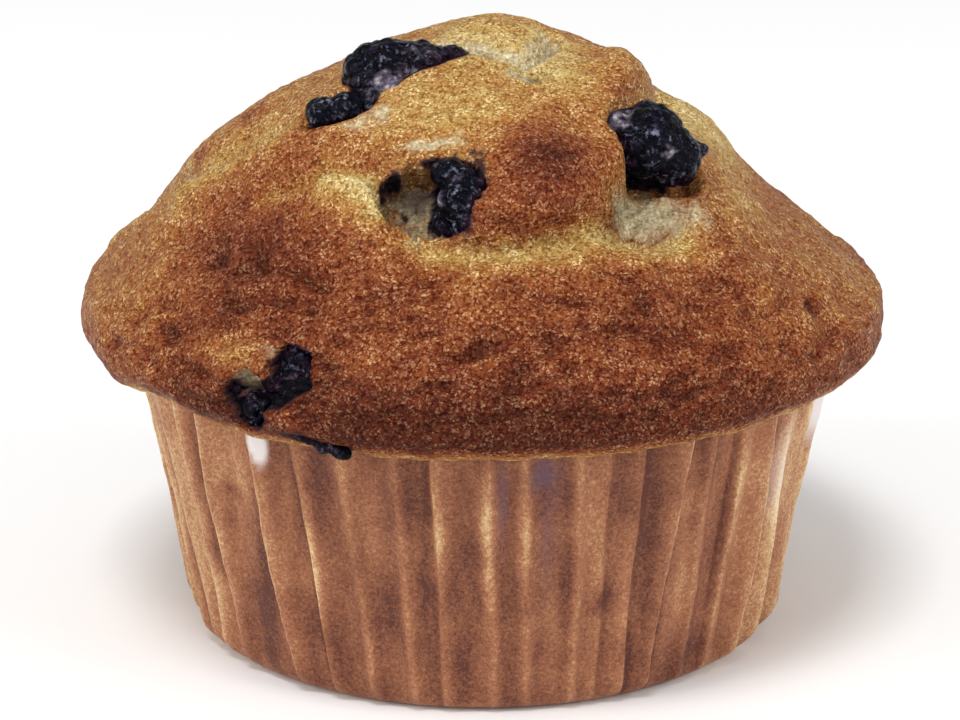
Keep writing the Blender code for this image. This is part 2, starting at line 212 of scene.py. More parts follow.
# Juice beside and under the berries, with painted shadow under the crater's roof and, mixed with juice,
# under the right berry and the tail: centre, half sizes, how dark.
JUICE = {
    "crater_right": ((-1.9, -20.8, 45.8), (3.0, 3.4, 3.8), 1.1),
    "crater_left": ((-7.8, -20.0, 46.4), (1.2, 2.0, 1.5), 1.1),
    # Painted shadow under the crater's roof.
    "crater_roof_shadow": ((-3.6, -20.2, 48.6), (2.6, 2.0, 0.8), 0.9),
    "crater_dot": ((-7.0, -20.0, 43.9), (0.5, 1.4, 0.4), 0.9),
    "crater_floor_dot": ((-4.8, -20.0, 43.9), (0.6, 1.6, 0.4), 0.9),
    "crater_speck": ((-5.8, -19.2, 44.6), (0.5, 1.6, 0.4), 0.85),
    "crater_low_speck": ((-6.3, -19.8, 42.9), (0.5, 1.4, 0.35), 0.8),
    "crater_floor": ((-5.6, -19.4, 45.0), (3.0, 3.0, 2.0), 0.46),
    "burst_right": ((-16.0, -30.4, 33.3), (1.5, 2.4, 2.1), 1.0),
    "burst_stem": ((-19.6, -31.0, 29.6), (1.2, 2.4, 1.5), 1.0),
    "burst_arm": ((-21.6, -29.6, 31.6), (0.6, 1.8, 0.8), 0.9),
    "burst_arm_foot": ((-21.0, -30.2, 30.6), (0.7, 1.8, 0.9), 1.0),
    "under_lip": ((-14.0, -33.6, 27.9), (3.0, 1.6, 0.6), 0.7),
    # Juice and painted shadow under the right berry and under the tail.
    "right_seat": ((15.6, -13.2, 46.4), (4.0, 3.4, 2.4), 0.9),
    "tail_seat": ((-12.4, -10.6, 51.0), (3.4, 2.2, 1.5), 0.8),
}
# Places in the juice that stay bare: centre, half sizes, how bare.
BARE = {
    "crater_floor": ((-6.2, -20.0, 44.8), (1.3, 3.0, 1.1), 0.5),
    "burst_flesh": ((-19.7, -29.6, 32.1), (1.4, 2.0, 1.2), 0.9),
    "tail_side": ((-9.6, -14.6, 51.4), (1.6, 1.6, 1.2), 0.8),
    "right_top": ((11.9, -14.4, 51.4), (0.9, 1.4, 0.7), 0.8),
}
# Painted shade in holes and pits and under overhangs, and darker soaked crumb: centre, half sizes, how
# dark.
PAINTED_SHADE_AND_DAMP = {
    "crater_floor": ((-5.6, -19.4, 45.6), (3.8, 2.8, 2.4), 0.88),
    "nose_foot": ((3.0, -25.0, 43.0), (7.0, 1.3, 0.7), 0.5),
    "nose_side": ((10.4, -20.0, 43.6), (2.4, 2.6, 2.0), 0.6),
    "burst_flesh": ((-20.0, -29.6, 32.0), (2.0, 1.8, 1.6), 0.74),
    "hollow_back": ((15.2, -15.0, 45.2), (4.2, 1.6, 1.2), 0.6),
    "hollow": ((13.8, -17.4, 43.4), (5.0, 3.6, 2.2), 0.3),
    "left_notch": ((-27.4, -3.6, 42.2), (1.4, 2.4, 1.3), 0.35),
    "top_pit": ((4.4, -8.6, 53.8), (0.9, 0.8, 1.2), 0.6),
}

# Berries: blobs of (centre, half sizes, turn in degrees) that melt into one.
BERRIES = {
    "berry_top_left": [
        ((-9.9, -6.8, 53.7), (2.7, 2.9, 2.9), (0, 0, 0)),
        ((-8.0, -7.0, 54.2), (2.8, 2.8, 2.5), (0, 10, 0)),
        ((-5.6, -6.6, 54.9), (2.5, 2.1, 1.7), (0, 12, 0)),
        ((-3.4, -6.2, 55.0), (2.0, 1.4, 1.1), (0, 14, 10)),
        ((-8.6, -9.2, 53.0), (1.8, 1.4, 1.6), (0, 0, 0)),
    ],
    "berry_top_left_tail": [
        ((-14.1, -10.8, 50.8), (1.7, 1.7, 1.6), (0, -15, 0)),
        ((-12.0, -10.8, 51.4), (2.1, 1.8, 1.5), (0, 5, 0)),
        ((-10.4, -9.8, 52.0), (1.6, 1.6, 1.3), (0, 5, 0)),
    ],
    "berry_crater": [
        ((-1.3, -22.0, 45.4), (2.4, 2.1, 3.3), (0, -10, 0)),
        ((-2.8, -20.8, 48.0), (1.8, 1.5, 1.3), (0, 15, 0)),
        ((-2.3, -21.4, 43.8), (2.2, 1.7, 1.3), (0, 0, 0)),
    ],
    "berry_right": [
        ((14.7, -13.2, 49.0), (3.5, 3.4, 3.3), (0, 25, 0)),
        ((16.9, -13.6, 47.6), (2.4, 2.5, 2.4), (0, 0, 0)),
        ((12.3, -13.6, 50.8), (1.2, 1.4, 1.2), (0, 0, 0)),
        ((14.8, -12.6, 51.2), (1.8, 1.6, 1.2), (0, 0, 0)),
        ((19.1, -12.9, 48.3), (0.9, 0.9, 0.5), (0, 24, 0)),
    ],
    "berry_lip_left": [
        ((-15.8, -28.9, 33.2), (2.0, 1.5, 2.3), (0, 14, 0)),
        ((-17.4, -29.2, 31.8), (2.0, 1.5, 1.5), (0, 40, 0)),
        ((-19.5, -29.8, 29.7), (1.3, 1.3, 1.6), (0, 10, 0)),
        ((-21.0, -28.9, 31.2), (0.7, 1.0, 1.3), (0, -30, 0)),
    ],
    "berry_under_lip": [
        ((-13.1, -33.9, 27.5), (1.8, 0.6, 0.42), (0, 14, -21)),
        ((-14.8, -33.2, 28.1), (1.8, 0.6, 0.35), (0, 18, -21)),
    ],
    "berry_rear": [
        ((4.0, 21.5, 44.9), (4.0, 3.8, 3.3), (-20, 0, 15)),
        ((2.2, 20.4, 46.0), (2.0, 2.2, 1.8), (0, 0, 0)),
    ],
    "berry_rear_left": [
        ((-17.0, 19.0, 41.5), (3.8, 3.7, 3.4), (0, 25, 30)),
    ],
}
# Torn places where a berry's flesh shows: centre, half sizes, how bare.
FLESH = {
    "top_left_torn": ((-8.6, -10.4, 53.0), (1.8, 1.4, 1.4), 1.0),
    "top_left_middle": ((-6.4, -9.4, 53.9), (1.6, 1.2, 1.0), 0.8),
    "top_left_ruffle": ((-5.4, -8.0, 56.0), (1.6, 1.4, 1.0), 0.45),
    "right_top": ((12.2, -14.6, 51.6), (1.2, 1.2, 1.0), 0.8),
    "right_spot": ((16.4, -16.4, 48.8), (0.8, 1.0, 0.8), 0.7),
    "right_foot": ((15.6, -16.0, 46.0), (1.0, 1.2, 0.8), 0.5),
    "crater_ridge": ((-3.4, -22.2, 46.4), (0.9, 1.0, 1.4), 0.6),
}
BERRY_VOXEL = 0.16
BERRY_SMOOTHING = 12

# The case's pleats that face the front: azimuth at the top, azimuth at the foot, how far each stands out,
# and which way it is folded over: -1 towards smaller azimuths, 1 towards larger ones, 0 neither.
FRONT_PLEATS = [
    (-73.0, -66.5, 1.0, -1), (-67.5, -63.0, 0.8, -1), (-57.0, -58.0, 1.2, -1), (-50.8, -51.0, 1.3, -1),
    (-39.2, -36.0, 1.5, -1), (-31.2, -28.2, 0.9, -1), (-23.0, -20.2, 0.6, 0), (-13.8, -12.5, 0.9, 0),
    (-8.0, -7.0, 0.8, -1), (0.6, 2.0, 0.9, 0), (6.4, 7.8, 0.7, 0), (14.8, 16.2, 0.8, 0),
    (20.0, 20.5, 0.4, 1), (25.5, 26.0, 0.8, 1), (33.2, 30.8, 1.5, 1), (38.5, 40.0, 0.7, 0),
    (45.4, 46.0, 0.9, -1), (53.0, 54.0, 1.5, 1), (60.0, 63.5, 1.0, 1), (69.0, 74.0, 1.0, 1),
]
# Lighter and darker patches of the case's front: (azimuth, height), half sizes, change.
PAPER_TONES = {
    "left_panel": ((-45.0, 22.5), (4.2, 4.0), 0.26),
    "left_panel_smudge": ((-46.5, 18.8), (2.6, 0.6), -0.22),
    "left_panel_foot": ((-45.0, 8.5), (4.0, 5.5), -0.14),
    "left_band": ((-53.6, 17.0), (1.5, 9.0), -0.24),
    "left_fold_shade": ((-41.2, 14.0), (1.2, 10.0), -0.22),
    "left_fold_panel": ((-36.0, 17.0), (2.4, 5.5), 0.18),
    "greasy_top": ((-27.2, 22.5), (2.4, 3.8), -0.16),
    "second_crest": ((-29.8, 16.0), (1.2, 6.0), 0.26),
    "red_pleat": ((-12.0, 21.0), (1.4, 5.0), -0.14),
    "red_pleat_foot": ((-13.0, 9.5), (1.5, 3.5), 0.18),
    "grey_valley": ((-9.9, 15.0), (1.0, 10.0), -0.22),
    "middle_crest": ((-7.5, 19.0), (0.8, 7.0), 0.2),
    "red_panel": ((-4.6, 20.0), (2.2, 6.0), -0.14),
    "bright_crest": ((0.2, 16.0), (0.9, 8.0), 0.24),
    "tan_crest": ((6.2, 20.0), (1.5, 5.0), 0.14),
    "low_crest": ((8.2, 9.0), (0.9, 3.0), 0.16),
    "narrow_valley": ((13.0, 22.0), (1.1, 3.5), -0.2),
    "tan_panel": ((17.2, 20.0), (2.0, 5.0), 0.16),
    "blotch": ((20.4, 10.8), (1.8, 1.6), -0.34),
    "low_blotch": ((26.0, 5.6), (1.8, 1.8), -0.24),
    "brown_panel": ((23.4, 19.0), (2.8, 5.0), -0.12),
    "ribbed_band": ((29.2, 19.0), (2.4, 7.0), -0.24),
    "cream_panel": ((36.2, 11.5), (2.4, 6.0), 0.3),
    "right_panel": ((48.6, 19.0), (2.6, 6.5), 0.18),
    "right_band": ((56.0, 20.0), (1.4, 6.0), -0.26),
    "far_right_panel": ((62.0, 18.0), (3.0, 7.0), 0.18),
    "right_foot": ((45.0, 3.5), (7.0, 2.2), -0.16),
}
# Berry stains on it and clean white paper: (azimuth, height), half sizes, strength.
PAPER_STAINS = {
    "top_stain": ((9.8, 24.6), (2.2, 1.5), 0.75),
    "run": ((10.6, 18.0), (1.3, 5.0), 0.3),
    "second_run": ((2.9, 22.0), (0.9, 4.0), 0.55),
}
PAPER_WHITE = {
    "left": ((-37.4, 25.0), (1.5, 2.0), 1.4),
    "right": ((77.0, 22.5), (7.0, 4.0), 0.85),
    "right_panel": ((60.0, 19.0), (6.0, 8.0), 0.42),
}
PLEAT_PITCH = 360 / 44  # of the pleats that the photograph doesn't show
VALLEY_DEPTH = 0.7  # how far the pleats' valleys lie inside the plain cone
PAPER = 0.16  # its thickness
PAPER_CORNER = 2.4  # its rounding at the foot
PAPER_TOP = CASE_HEIGHT + 1.2  # its edge is hidden inside the lip
PAPER_LIGHT = 0.33  # how light it is on the whole, from 0 to 1
CASE_COLUMNS = 1056
CASE_ROWS = 34
CORNER_ROWS = 7

# Patterns of noise: how strong, the size of the largest features, seed, octaves.
PATTERNS = {
    "lumps": (0.28, 6.0, 1, 2),
    "crumbs": (0.13, 1.9, 2, 2),
    "fine_crumbs": (0.08, 0.8, 3, 1),
    "wrinkles": (1.0, 1.5, 4, 3),
    "wobble": (0.5, 2.2, 5, 2),
    "uneven_brown": (0.07, 9.0, 6, 2),
    "rough": (1.0, 0.9, 8, 2),
    "torn_edge": (0.18, 1.6, 9, 2),
    "paper_dents": (0.14, 4.0, 21, 2),
    "paper_fine_dents": (0.04, 1.0, 22, 1),
    "paper_streaks": (1.0, 2.2, 23, 2),
    "paper_blur": (0.8, 3.0, 24, 2),
    "berry_lumps": (0.3, 2.4, 30, 2),
    "berry_rim": (0.3, 0.9, 50, 2),
    "berry_rim_tint": (0.8, 1.6, 60, 2),
    "berry_tears": (0.35, 1.0, 70, 2),
}
CRUMPLES = ((1.0, 1.4), (0.3, 0.6))  # of the berries' skin: strength, size

# Colours as seen, from 0 to 255, each with its place along the pattern that it colours.
CRUST_COLOURS = (
    (0.0, (204, 184, 122)), (0.2, (180, 147, 82)), (0.4, (164, 114, 58)),
    (0.6, (142, 80, 42)), (0.8, (111, 52, 29)), (1.0, (78, 34, 20)),
)
# Painted shade in the gaps between the crust's pebbles.
PIT_COLOURS = ((0.45, (255, 255, 255)), (0.78, (164, 120, 94)))
CRUMB_COLOURS = ((0.35, (148, 132, 98)), (0.5, (180, 164, 128)), (0.65, (212, 200, 168)))
JUICE_COLOURS = ((0.45, (6, 5, 10)), (0.62, (20, 14, 24)), (0.72, (80, 56, 70)))
PAPER_COLOURS = (
    (0.0, (88, 50, 40)), (0.25, (129, 80, 57)), (0.5, (160, 107, 76)),
    (0.75, (196, 157, 112)), (1.0, (225, 202, 162)),
)
SKIN_COLOURS = ((0.42, (2, 3, 9)), (0.6, (9, 9, 20)), (0.76, (40, 32, 52)))
RIM_COLOURS = ((0.36, (9, 4, 12)), (0.58, (34, 16, 32)), (0.74, (88, 60, 82)))
FLESH_COLOURS = ((0.35, (28, 22, 34)), (0.52, (92, 84, 98)), (0.68, (176, 168, 172)))
SOAKED_CRUST = (58, 34, 38)
STAINED_PAPER = (92, 74, 92)
WHITE_PAPER = (224, 216, 214)
# Painted highlights of the crust and of the berries.
CRUST_GLINT = (234, 196, 150)
BERRY_GLINT = (112, 114, 136)

# The studio's lights: azimuth, elevation, distance and side in metres, power.
LIGHTS = {
    "top": (-15, 66, 1.6, 0.45, 13.0),
    "left": (-62, 30, 1.2, 0.6, 5.0),
    "right": (62, 30, 1.2, 0.6, 4.5),
    "front": (0, 5, 1.4, 0.5, 3.0),
}
LIT_PLACE = (0, 0, 0.03)
WORLD_STRENGTH = 0.54
FLOOR_RADIUS = 3.0
FLOOR_COLOUR = (0.88, 0.88, 0.88, 1)

# The camera, fitted to the photograph.
CAMERA_TARGET = (-0.33, 0.0, 24.3)
CAMERA_DISTANCE = 320.0
CAMERA_ELEVATION = 18.1
CAMERA_LENS = 126.4
SENSOR_WIDTH = 36.0


# ---- Numbers on arrays ----


def smooth_step(share):
    share = np.clip(share, 0, 1)
    return share * share * (3 - 2 * share)


def pattern(points, name, shift=0):
    """The named pattern at each point. A shift of the seed gives another pattern of its kind."""
    strength, size, seed, octaves = PATTERNS[name]
    spots = points / size + 13.7 * (seed + shift)
    return strength * np.array([noise.fractal(spot, 1.0, 2.0, octaves) for spot in spots.tolist()])


def scaled(points, centre, half):
    """How far each point is from a centre, counted in the ellipsoid's half sizes."""
    return np.linalg.norm((points - centre) / half, axis=1)


def blob(points, centre, half):
    """1 at a place, falling off softly to 0 at about twice its half sizes."""
    return np.exp(-(scaled(points, centre, half) ** 2))


# ---- The crown's form, finer than in the CAD source ----


def plain_dome(x, y):
    """Height of the dome before it burst."""
    share = np.clip(1 - (x * x + y * y) / LIP_RADIUS**2, 0, 1)
    rounding = LIP_FULLNESS * np.sqrt(share) * np.exp(-share / 0.07)
    swelling = FLANK_FULLNESS * np.exp(-(((np.hypot(x, y) - FLANK_RADIUS) / 3.5) ** 2))
    return LIP_HEIGHT + DOME_RISE * share + rounding + swelling


def bulge(x, y, centre, half, turn, height):
    spin = math.radians(turn)
    dx, dy = x - centre[0], y - centre[1]
    u = (dx * math.cos(spin) + dy * math.sin(spin)) / half[0]
    v = (dy * math.cos(spin) - dx * math.sin(spin)) / half[1]
    return height * np.exp(-(u * u + v * v))


def smooth_line(points, steps=6):
    """A Catmull-Rom curve through the points, as a list of points."""
    given = [np.array(point) for point in points]
    knots = [2 * given[0] - given[1], *given, 2 * given[-1] - given[-2]]
    line = []
    for a, b, c, d in zip(knots, knots[1:], knots[2:], knots[3:]):
        for step in range(steps):
            t = step / steps
            bend = 2 * a - 5 * b + 4 * c - d + t * (3 * (b - c) + d - a)
            line.append(b + 0.5 * t * (c - a + t * bend))
    return [*line, given[-1]]


def along_line(x, y, points):
    """Distance from a smooth line, whether a point is on the left of the way it runs, and how the line
    fades towards its ends."""
    line = smooth_line(points)
    lengths = [float(np.linalg.norm(end - start)) for start, end in zip(line, line[1:])]
    nearest = np.full(x.shape, np.inf)
    left = np.zeros(x.shape, bool)
    share = np.zeros(x.shape)
    run = 0.0
    for start, end, length in zip(line, line[1:], lengths):
        way = (end - start) / length
        dx, dy = x - start[0], y - start[1]
        along = np.clip(dx * way[0] + dy * way[1], 0, length)
        distance = np.hypot(dx - along * way[0], dy - along * way[1])
        closer = distance < nearest
        nearest = np.where(closer, distance, nearest)
        left = np.where(closer, way[0] * dy - way[1] * dx > 0, left)
        share = np.where(closer, (run + along) / sum(lengths), share)
        run += length
    return nearest, left, smooth_step(7 * np.minimum(share, 1 - share))


def crease(x, y, points, depth, left_width, right_width, left_height, right_height, reach):
    """A valley along a line, with edges that rise steeply from it and die away behind."""
    nearest, left, fade = along_line(x, y, points)
    width = np.where(left, left_width, right_width)
    height = np.where(left, left_height, right_height)
    valley = -depth * np.exp(-((nearest / width) ** 1.5))
    edges = height * smooth_step(nearest / 0.9) * np.exp(-((nearest / reach) ** 2))
    return fade * (valley + edges)


def crown_change(x, y):
    """How far the burst crown stands above the plain dome."""
    change = sum(bulge(x, y, *numbers) for numbers in BULGES.values())
    change += sum(crease(x, y, *numbers) for numbers in CREASES.values())
    # The lip itself stays where it is.
    return change * smooth_step((LIP_RADIUS - np.hypot(x, y)) / 1.5)


def push_crust(points):
    for centre, half, way, far in PUSHES.values():
        push = smooth_step(1.6 * (1.2 - scaled(points, centre, half))) * far
        points = points + np.outer(push, way)
    return points


def inside(points, centre, half):
    """1 inside a hole and 0 outside, across a narrow, ragged edge."""
    near = scaled(points, centre, half) + pattern(points, "torn_edge")
    return smooth_step(5.0 * (1.0 - near) + 0.5)


def tear_holes(points):
    """(the points with the holes pushed in, how deep in a hole each is from 0 to 1, how juicy it is)."""
    depth, juice, push = np.zeros((3, len(points)))
    way = np.zeros(points.shape)
    for centre, half, inward, far, juicy in HOLES.values():
        share = inside(points, centre, half)
        deeper = share * far > push
        push = np.where(deeper, share * far, push)
        way = np.where(deeper[:, None], inward, way)
        depth = np.maximum(depth, share)
        juice = np.maximum(juice, share * juicy)
    return points + push[:, None] * way, depth, juice


def lip_wave(azimuth):
    """The lip's unevenness round the muffin, from about -1 to 1."""
    return 0.6 * np.sin(2 * azimuth + 0.5) + 0.4 * np.sin(5 * azimuth - 0.8)


def shape_crown(points):
    """Moves the points of the turned cake to the burst, uneven crown."""
    x, y, z = points.T
    above = z > LIP_HEIGHT - 0.01
    z = z + np.where(above, crown_change(x, y), 0)
    wave = lip_wave(np.arctan2(y, x)) * smooth_step((z - CASE_HEIGHT - GAP) / 4)
    wave = wave * (np.hypot(x, y) / LIP_RADIUS) ** 2
    stretch = 1 + 0.006 * wave
    return push_crust(np.stack([x * stretch, y * stretch, z + 0.3 * wave], axis=1))


# ---- Meshes ----


def ring_faces(below, lower, above, upper):
    """Faces between a ring whose points start at below and the next one up. Where one ring holds fewer
    points, some faces are triangles."""
    faces = []
    most = max(lower, upper)
    for i in range(most):
        a, b = below + i * lower // most, below + (i + 1) * lower // most % lower
        c, d = above + (i + 1) * upper // most % upper, above + i * upper // most
        faces.append(list(dict.fromkeys((a, b, c, d))))
    return faces


def rings_mesh(name, rings):
    """A mesh of rings of (radius, height, columns), bottom to top. A ring of one column is a point."""
    points, faces, start, last = [], [], 0, None
    for radius, height, columns in rings:
        turn = 2 * math.pi * np.arange(columns) / columns
        ring = np.stack([radius * np.cos(turn), radius * np.sin(turn), np.full(columns, height)], axis=1)
        points.append(ring)
        if last:
            faces += ring_faces(last[0], last[1], start, columns)
        last = (start, columns)
        start += columns
    mesh = bpy.data.meshes.new(name)
    mesh.from_pydata((np.concatenate(points) * MM).tolist(), [], faces)
    mesh.update()
    return mesh


def points_of(mesh):
    """The mesh's points as an array in millimetres."""
    points = np.empty(len(mesh.vertices) * 3, np.float32)
    mesh.vertices.foreach_get("co", points)
    return points.reshape(-1, 3).astype(float) / MM


def normals_of(mesh):
    normals = np.empty(len(mesh.vertices) * 3, np.float32)
    mesh.vertex_normals.foreach_get("vector", normals)
    return normals.reshape(-1, 3).astype(float)


def move_points(mesh, points):
    mesh.vertices.foreach_set("co", (points * MM).astype(np.float32).ravel())
    mesh.update()


def set_attribute(mesh, name, values):
    made = mesh.attributes.new(name, "FLOAT", "POINT")
    made.data.foreach_set("value", np.clip(values, 0, 1).astype(np.float32))


def add_object(name, data):
    made = bpy.data.objects.new(name, data)
    bpy.context.scene.collection.objects.link(made)
    return made


def show(name, mesh, finish, slot, *nodes):
    """Puts the mesh in the scene as a smooth piece that stands for those CAD nodes."""
    piece = add_object(name, mesh)
    mesh.materials.append(finish)
    mesh.shade_smooth()
    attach(piece, "root")
    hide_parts(*nodes)
    return piece


# ---- Material nodes ----


def add_node(tree, kind, settings=None, **inputs):
    """A shader node with its settings, and its inputs set to values or joined to other nodes' outputs. An
    input's name has _ where Blender's has a space."""
    node = tree.nodes.new("ShaderNode" + kind)
    for key, value in (settings or {}).items():
        setattr(node, key, value)
    for key, value in inputs.items():
        socket = node.inputs[key.replace("_", " ")]
        if isinstance(value, bpy.types.NodeSocket):
            tree.links.new(value, socket)
        else:
            socket.default_value = value
    return node


def linear(red, green, blue):
    """A colour given as seen, 0 to 255, as the shader's linear colour."""
    return (*(((c / 255 + 0.055) / 1.055) ** 2.4 for c in (red, green, blue)), 1.0)


def ramp(tree, factor, *stops):
    """A colour ramp over (position, colour or number) stops."""
    node = add_node(tree, "ValToRGB", Fac=factor)
    elements = node.color_ramp.elements
    while len(elements) < len(stops):
        elements.new(0.5)
    for element, (position, value) in zip(elements, stops):
        element.position = position
        element.color = linear(*value) if isinstance(value, tuple) else (value, value, value, 1)
    return node.outputs["Color"]


def attribute(tree, name):
    return add_node(tree, "Attribute", {"attribute_name": name}).outputs["Fac"]


def grain(tree, size, detail=2.0, roughness=0.5, flat=1.0):
    """Noise with features of that size, from 0 to 1. A flat below 1 stretches them sideways."""
    place = add_node(tree, "TexCoord").outputs["Object"]
    if flat < 1:
        place = add_node(tree, "Mapping", Vector=place, Scale=(flat, flat, 1.0)).outputs["Vector"]
    return add_node(
        tree, "TexNoise", Vector=place, Scale=1 / (size * MM), Detail=detail, Roughness=roughness
    ).outputs["Fac"]


def pebbles(tree, size):
    """Uneven pebbles of that size: how far a point is from the nearest pebble's middle, and a chance
    number of that pebble."""
    place = add_node(tree, "TexCoord").outputs["Object"]
    shake = add_node(tree, "TexNoise", Vector=place, Scale=1 / (size * MM), Detail=2.0).outputs["Color"]
    place = mix(tree, 1.2 * size * MM, place, shake, "LINEAR_LIGHT")
    node = add_node(tree, "TexVoronoi", Vector=place, Scale=1 / (size * MM))
    return node.outputs["Distance"], node.outputs["Color"]


def math_node(tree, operation, first, second):
    node = add_node(tree, "Math", {"operation": operation})
    for socket, value in zip(node.inputs, (first, second)):
        if isinstance(value, bpy.types.NodeSocket):
            tree.links.new(value, socket)
        else:
            socket.default_value = value
    return node.outputs["Value"]


def mix(tree, factor, first, second, blend="MIX"):
    node = add_node(tree, "MixRGB", {"blend_type": blend}, Fac=factor, Color1=first, Color2=second)
    return node.outputs["Color"]


def bump(tree, height, distance, strength=1.0, under=None):
    inputs = {"Height": height, "Distance": distance * MM, "Strength": strength}
    if under:
        inputs["Normal"] = under
    return add_node(tree, "Bump", **inputs).outputs["Normal"]


def new_material(name):
    made = bpy.data.materials.new(name)
    made.use_nodes = True
    tree = made.node_tree
    return made, tree, tree.nodes["Principled BSDF"]


def shifted(tree, value, noise_value, amount):
    """value pushed up and down by a noise, by about that amount."""
    change = math_node(tree, "MULTIPLY", math_node(tree, "SUBTRACT", noise_value, 0.5), amount)
    return math_node(tree, "ADD", value, change)


def crust_glints(tree, gap, pebble, streaks):
    """Small painted highlights (glints) on some of the pebbles, in bunches on the ridges, the most where
    the crust is pale.
    """
    browned = ramp(tree, attribute(tree, "brown"), (0.4, 1.0), (0.6, 0.56), (1.0, 0.22))
    bunches = math_node(tree, "MULTIPLY", ramp(tree, streaks, (0.4, 0.3), (0.62, 1.0)), browned)
    middles = ramp(tree, gap, (0.2, 1.0), (0.6, 0.0))
    chosen = ramp(tree, pebble, (0.44, 0.0), (0.68, 1.0))
    return math_node(tree, "MULTIPLY", math_node(tree, "MULTIPLY", middles, chosen), bunches)


def crust_material():
    made, tree, shader = new_material("browned_crust")
    mottle = grain(tree, 3.2, 3.0)
    fine = grain(tree, 0.4, 3.0, 0.6)
    streaks = grain(tree, 0.8, 2.0, 0.6, 0.45)
    brown = shifted(tree, attribute(tree, "brown"), mottle, 0.24)
    # Paler on the ridges of the streaks, which the bump raises: painted light.
    brown = shifted(tree, shifted(tree, brown, fine, -0.5), streaks, -0.35)
    colour = ramp(tree, brown, *CRUST_COLOURS)
    gap, pebble = pebbles(tree, 0.27)
    # Painted shade darkens the gaps between the pebbles, which the bump sinks.
    pitted = ramp(tree, attribute(tree, "brown"), (0.3, 0.8), (0.7, 1.0))
    colour = mix(tree, pitted, colour, ramp(tree, gap, *PIT_COLOURS), "MULTIPLY")
    colour = mix(tree, attribute(tree, "crumb"), colour, ramp(tree, fine, *CRUMB_COLOURS))
    glints = crust_glints(tree, gap, pebble, streaks)
    # Painted highlights.
    colour = mix(tree, glints, colour, linear(*CRUST_GLINT), "SCREEN")
    # Painted shade, with some soaked crumb, darkens the colour.
    shade = math_node(tree, "SUBTRACT", 1.0, attribute(tree, "painted_shade_and_damp"))
    colour = mix(tree, 1.0, colour, shade, "MULTIPLY")
    soaked = ramp(tree, attribute(tree, "juice"), (0.05, 0.0), (0.5, 0.85))
    colour = mix(tree, soaked, colour, linear(*SOAKED_CRUST))
    juicy = ramp(tree, attribute(tree, "juice"), (0.35, 0.0), (0.8, 1.0))
    colour = mix(tree, juicy, colour, ramp(tree, fine, *JUICE_COLOURS))
    tree.links.new(colour, shader.inputs["Base Color"])
    shader.inputs["Roughness"].default_value = 0.45
    shader.inputs["Specular IOR Level"].default_value = 0.06
    normal = bump(tree, streaks, 0.8)
    normal = bump(tree, math_node(tree, "SUBTRACT", 1.0, gap), 0.07, 1.0, normal)
    tree.links.new(normal, shader.inputs["Normal"])
    return made


def paper_material():
    made, tree, shader = new_material("greased_paper")
    mottle = grain(tree, 5.0, 3.0)
    fibre = grain(tree, 0.35, 3.0, 0.65)
    light = shifted(tree, attribute(tree, "light"), mottle, 0.5)
    light = shifted(tree, shifted(tree, light, fibre, 0.7), grain(tree, 0.2, 1.0), 0.5)
    colour = ramp(tree, light, *PAPER_COLOURS)
    colour = mix(tree, attribute(tree, "juice"), colour, linear(*STAINED_PAPER))
    colour = mix(tree, attribute(tree, "clean"), colour, linear(*WHITE_PAPER))
    tree.links.new(colour, shader.inputs["Base Color"])
    tree.links.new(ramp(tree, fibre, (0.3, 0.55), (0.7, 0.38)), shader.inputs["Roughness"])
    shader.inputs["Specular IOR Level"].default_value = 0.15
    tree.links.new(bump(tree, fibre, 0.05, 0.7), shader.inputs["Normal"])
    return made


def berry_material():
    made, tree, shader = new_material("blueberry_skin")
    fine = grain(tree, 0.7, 3.0, 0.6)
    colour = ramp(tree, fine, *SKIN_COLOURS)
    colour = mix(tree, attribute(tree, "edge"), colour, ramp(tree, fine, *RIM_COLOURS))
    colour = mix(tree, attribute(tree, "flesh"), colour, ramp(tree, fine, *FLESH_COLOURS))
    # Painted wet highlights (glints) sit in clusters.
    clusters = ramp(tree, grain(tree, 1.7, 2.0), (0.44, 0.0), (0.6, 1.0))
    glints = ramp(tree, grain(tree, 0.5, 3.0, 0.6), (0.54, 0.0), (0.7, 0.9))
    glints = math_node(tree, "MULTIPLY", glints, clusters)
    colour = mix(tree, glints, colour, linear(*BERRY_GLINT))
    tree.links.new(colour, shader.inputs["Base Color"])
    shader.inputs["Roughness"].default_value = 0.2
    shader.inputs["Specular IOR Level"].default_value = 0.05
    normal = bump(tree, grain(tree, 0.9, 1.0), 0.4)
    tree.links.new(bump(tree, grain(tree, 0.35, 1.0), 0.1, 1.0, normal), shader.inputs["Normal"])
    return made


# ---- The cake ----


def crown_profile():
    """(radius, height) from the neck, round the lip, to the top of the dome, closely spaced."""
    neck_height = CASE_HEIGHT + GAP
    points = [(CRUMB_RADIUS + CASE_FLARE * (neck_height - CRUMB_FLOOR), neck_height)]
    turn_at_neck = math.asin((LIP_HEIGHT - neck_height) / LIP_DROP)
    for turn in np.linspace(turn_at_neck, 0, LIP_STEPS):
        radius = LIP_CORE + (LIP_RADIUS - LIP_CORE) * math.cos(turn)
        points.append((radius, LIP_HEIGHT - LIP_DROP * math.sin(turn)))
    for turn in np.linspace(0, math.pi / 2, DOME_STEPS)[1:]:
        radius = LIP_RADIUS * math.cos(turn)
        points.append((radius, float(plain_dome(radius, 0.0))))
    return np.array(points)


def evenly(profile, spacing):
    """The profile's points at even steps along it."""
    run = np.concatenate([[0], np.cumsum(np.hypot(*np.diff(profile, axis=0).T))])
    steps = np.linspace(0, run[-1], round(run[-1] / spacing) + 1)
    return np.stack([np.interp(steps, run, values) for values in profile.T], axis=1)


